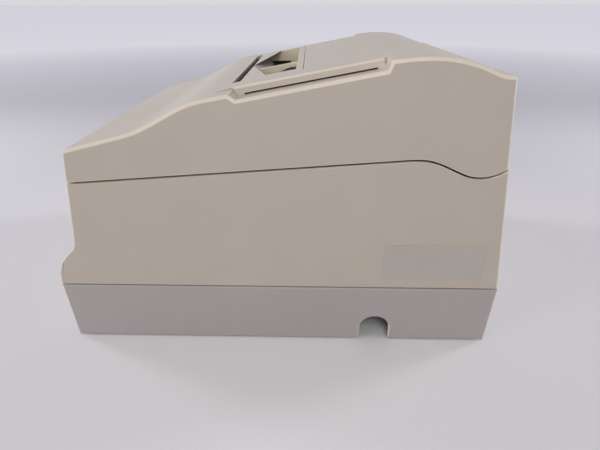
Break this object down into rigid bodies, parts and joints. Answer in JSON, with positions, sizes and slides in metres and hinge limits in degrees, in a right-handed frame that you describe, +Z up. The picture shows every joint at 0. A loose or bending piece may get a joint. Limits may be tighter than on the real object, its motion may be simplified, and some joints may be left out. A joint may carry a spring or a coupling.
{
  "type": "receipt printer",
  "caption": "Desktop impact receipt printer with a domed top cover that opens, a slot for single forms, a paper exit with a tear bar and a full print mechanism.",
  "frame": {"origin": "bottom centre of the case's outline, on the table", "axes": "+X towards the rear, -X the front with the lip and the front panel; +Y to the side away from the cable notch; +Z up"},
  "size_m": [0.254, 0.189, 0.1631],
  "materials": {
    "case_plastic": "fine grain, warm grey-beige",
    "panel_plastic": "satin",
    "label": "bare printed film",
    "light_pipe": "clear",
    "grey_plastic": "satin",
    "dark_plastic": "satin",
    "grey_inner_plastic": "satin",
    "green_plastic": "satin",
    "white_plastic": "satin",
    "board": "lacquered board",
    "rubber": "matt",
    "ribbon_fabric": "inked woven fabric",
    "bright_steel": "bright",
    "zinc_sheet": "zinc-plated sheet",
    "motor_case": "black"
  },
  "bodies": {
    "root": {"bottom_case": "case_plastic", "socket_panel": "grey_inner_plastic", "lower_case": "case_plastic", "control_panel": "panel_plastic", "status_lights": "light_pipe", "panel_board": "board", "power_switch": "dark_plastic", "rating_plate": "label", "rubber_feet": "rubber", "case_screws": "bright_steel", "cover_hinge_pins": "bright_steel", "chassis_tray": "zinc_sheet", "near_side_plate": "zinc_sheet", "far_side_plate": "zinc_sheet", "tie_bars": "bright_steel", "platen": "dark_plastic", "lower_paper_guide": "dark_plastic", "upper_chute": "dark_plastic", "main_board": "board", "board_components": "dark_plastic", "power_inlet": "dark_plastic", "interface_socket": "bright_steel", "drawer_socket": "dark_plastic", "main_guide_shaft": "bright_steel", "front_guide_shaft": "bright_steel", "timing_belt": "rubber", "idler_pin": "bright_steel", "carriage_motor": "motor_case", "ribbon_cassette": "dark_plastic", "ink_ribbon": "ribbon_fabric", "feed_motor": "motor_case", "roll_hopper": "grey_inner_plastic"},
    "top_cover": {"top_cover": "case_plastic", "exit_bezel": "case_plastic", "tear_bar": "bright_steel"},
    "feed_button": {"feed_button": "grey_plastic"},
    "power_rocker": {"power_rocker": "dark_plastic"},
    "carriage": {"carriage": "dark_plastic", "print_head": "grey_inner_plastic"},
    "drive_pulley": {"drive_pulley": "bright_steel"},
    "idler_pulley": {"idler_pulley": "bright_steel"},
    "ribbon_knob": {"ribbon_knob": "grey_plastic"},
    "feed_roller": {"feed_roller": "rubber", "feed_shaft": "bright_steel", "feed_gear": "white_plastic", "feed_knob": "dark_plastic"},
    "pinch_rollers": {"pinch_rollers": "rubber", "pinch_shaft": "bright_steel"},
    "motor_pinion": {"motor_pinion": "bright_steel"},
    "near_end_lever": {"near_end_lever": "white_plastic"},
    "release_lever": {"release_lever": "green_plastic"}
  },
  "joints": [
    {"name": "cover_hinge", "type": "hinge", "parent": "root", "child": "top_cover", "pos_m": [0.10397, 0, 0.1285], "axis": [0, 1, 0], "range_deg": [0, 60]},
    {"name": "feed_button_press", "type": "slide", "parent": "root", "child": "feed_button", "axis": [0.9925, 0, -0.1219], "range_m": [0, 0.0012], "stiffness_N_per_m": 500, "springref_m": -0.0008},
    {"name": "power_rocker_tilt", "type": "hinge", "parent": "root", "child": "power_rocker", "pos_m": [-0.10653, 0.052, 0.08139], "axis": [0, 1, 0], "range_deg": [0, 12]},
    {"name": "carriage_slide", "type": "slide", "parent": "root", "child": "carriage", "axis": [0, 1, 0], "range_m": [0, 0.094]},
    {"name": "drive_pulley_spin", "type": "hinge", "parent": "root", "child": "drive_pulley", "pos_m": [-0.088, 0.068, 0.0725], "axis": [0, 0, 1], "range_deg": [0, 900]},
    {"name": "idler_pulley_spin", "type": "hinge", "parent": "root", "child": "idler_pulley", "pos_m": [-0.088, -0.052, 0.0725], "axis": [0, 0, 1], "range_deg": [0, 900]},
    {"name": "ribbon_knob_turn", "type": "hinge", "parent": "root", "child": "ribbon_knob", "pos_m": [-0.085, 0.048, 0.11], "axis": [0, 0, 1], "continuous": true},
    {"name": "feed_spin", "type": "hinge", "parent": "root", "child": "feed_roller", "pos_m": [-0.015, 0, 0.078], "axis": [0, 1, 0], "continuous": true},
    {"name": "pinion_spin", "type": "hinge", "parent": "root", "child": "motor_pinion", "pos_m": [-0.00232, 0.078, 0.05905], "axis": [0, 1, 0], "continuous": true},
    {"name": "pinch_spin", "type": "hinge", "parent": "root", "child": "pinch_rollers", "pos_m": [-0.0263, 0, 0.078], "axis": [0, 1, 0], "continuous": true},
    {"name": "near_end_lever_pivot", "type": "hinge", "parent": "root", "child": "near_end_lever", "pos_m": [0.07997, -0.0175, 0.075], "axis": [0, 1, 0], "range_deg": [0, 15]},
    {"name": "release_lever_pivot", "type": "hinge", "parent": "root", "child": "release_lever", "pos_m": [-0.034, -0.0624, 0.094], "axis": [0, 1, 0], "range_deg": [0, 25]}
  ],
  "couplings": [
    {"joint": "drive_pulley_spin", "follows": "carriage_slide", "rad_per_m": 166.67},
    {"joint": "idler_pulley_spin", "follows": "carriage_slide", "rad_per_m": 166.67},
    {"joint": "pinion_spin", "follows": "feed_spin", "ratio": -2.1667},
    {"joint": "pinch_spin", "follows": "feed_spin", "ratio": -1.75}
  ]
}
